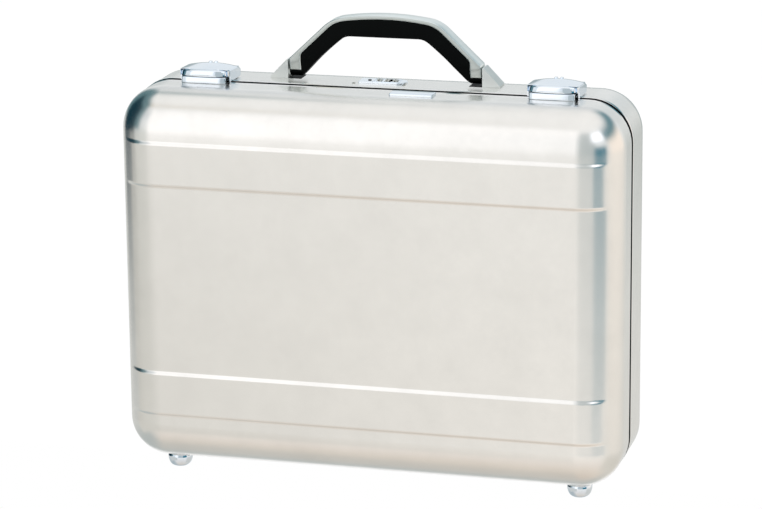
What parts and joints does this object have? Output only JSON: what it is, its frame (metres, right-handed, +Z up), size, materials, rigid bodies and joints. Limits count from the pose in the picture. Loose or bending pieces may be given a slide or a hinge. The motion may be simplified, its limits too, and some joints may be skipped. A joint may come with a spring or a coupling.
{
  "type": "attache case",
  "caption": "Hard aluminium attache case with raised bands, a lift handle, lever latches and a number lock; it stands upright on domed feet.",
  "frame": {"origin": "bottom centre of the bounding box, on the surface that the feet stand on", "axes": "+X along the width, from the left latch to the right latch; +Y from the front shell to the rear shell; +Z up, with the handle on top"},
  "size_m": [0.4608, 0.1494, 0.4205],
  "materials": {
    "shell_satin_aluminium": "satin",
    "frame_aluminium": "satin",
    "gasket_rubber": "matte",
    "lining_fabric": "matte",
    "pocket_fabric": "matte",
    "loop_leather": "satin",
    "bright_plate": "polished",
    "hardware_steel": "satin",
    "bracket_metal": "satin",
    "handle_metal": "satin",
    "handle_plastic": "satin",
    "dial_plastic": "satin",
    "button_plastic": "satin"
  },
  "bodies": {
    "base": {"rear_shell": "shell_satin_aluminium", "rear_rim": "frame_aluminium", "gasket": "gasket_rubber", "hardware_rail": "frame_aluminium", "rear_liner": "lining_fabric", "rear_rivets": "frame_aluminium", "latch_base_left": "hardware_steel", "latch_base_right": "hardware_steel", "latch_pin_left": "hardware_steel", "latch_pin_right": "hardware_steel", "handle_bracket_left": "bracket_metal", "handle_bracket_right": "bracket_metal", "handle_pin_left": "hardware_steel", "handle_pin_right": "hardware_steel", "lock_plate": "bright_plate", "lock_case": "hardware_steel", "dial_axle": "hardware_steel", "button_spring": "hardware_steel", "hinge_leaf_rear_left": "hardware_steel", "hinge_leaf_rear_right": "hardware_steel", "hinge_pin_left": "hardware_steel", "hinge_pin_right": "hardware_steel", "foot_rear_left": "bright_plate", "foot_rear_right": "bright_plate"},
    "lid": {"front_shell": "shell_satin_aluminium", "front_rim": "frame_aluminium", "front_liner": "lining_fabric", "front_rivets": "frame_aluminium", "document_pocket": "pocket_fabric", "pen_loops": "loop_leather", "catch_left": "bright_plate", "catch_right": "bright_plate", "badge_plate": "bright_plate", "hinge_leaf_front_left": "hardware_steel", "hinge_leaf_front_right": "hardware_steel", "foot_front_left": "bright_plate", "foot_front_right": "bright_plate"},
    "handle": {"handle_cover": "handle_metal", "handle_grip": "handle_plastic", "handle_hub_left": "handle_plastic", "handle_hub_right": "handle_plastic"},
    "latch_left": {"latch_lever_left": "bright_plate"},
    "latch_right": {"latch_lever_right": "bright_plate"},
    "dial_1": {"dial_1": "dial_plastic"},
    "dial_2": {"dial_2": "dial_plastic"},
    "dial_3": {"dial_3": "dial_plastic"},
    "reset_button": {"reset_button": "button_plastic"}
  },
  "joints": [
    {"name": "lid_hinge", "type": "hinge", "parent": "base", "child": "lid", "pos_m": [0, -0.0095, 0.0101], "axis": [1, 0, 0], "range_deg": [0, 95]},
    {"name": "handle_pivot", "type": "hinge", "parent": "base", "child": "handle", "pos_m": [0, 0.0285, 0.3686], "axis": [1, 0, 0], "range_deg": [-75, 75]},
    {"name": "latch_left_pivot", "type": "hinge", "parent": "base", "child": "latch_left", "pos_m": [-0.16, 0.0135, 0.3665], "axis": [-1, 0, 0], "range_deg": [0, 70]},
    {"name": "latch_right_pivot", "type": "hinge", "parent": "base", "child": "latch_right", "pos_m": [0.16, 0.0135, 0.3665], "axis": [-1, 0, 0], "range_deg": [0, 70]},
    {"name": "dial_1_spin", "type": "hinge", "parent": "base", "child": "dial_1", "pos_m": [-0.0068, 0.0205, 0.3566], "axis": [1, 0, 0], "continuous": true},
    {"name": "dial_2_spin", "type": "hinge", "parent": "base", "child": "dial_2", "pos_m": [0.0006, 0.0205, 0.3566], "axis": [1, 0, 0], "continuous": true},
    {"name": "dial_3_spin", "type": "hinge", "parent": "base", "child": "dial_3", "pos_m": [0.008, 0.0205, 0.3566], "axis": [1, 0, 0], "continuous": true},
    {"name": "reset_press", "type": "slide", "parent": "base", "child": "reset_button", "axis": [0, 0, -1], "range_m": [0, 0.0015], "stiffness_N_per_m": 200, "deforming": ["button_spring"]}
  ]
}
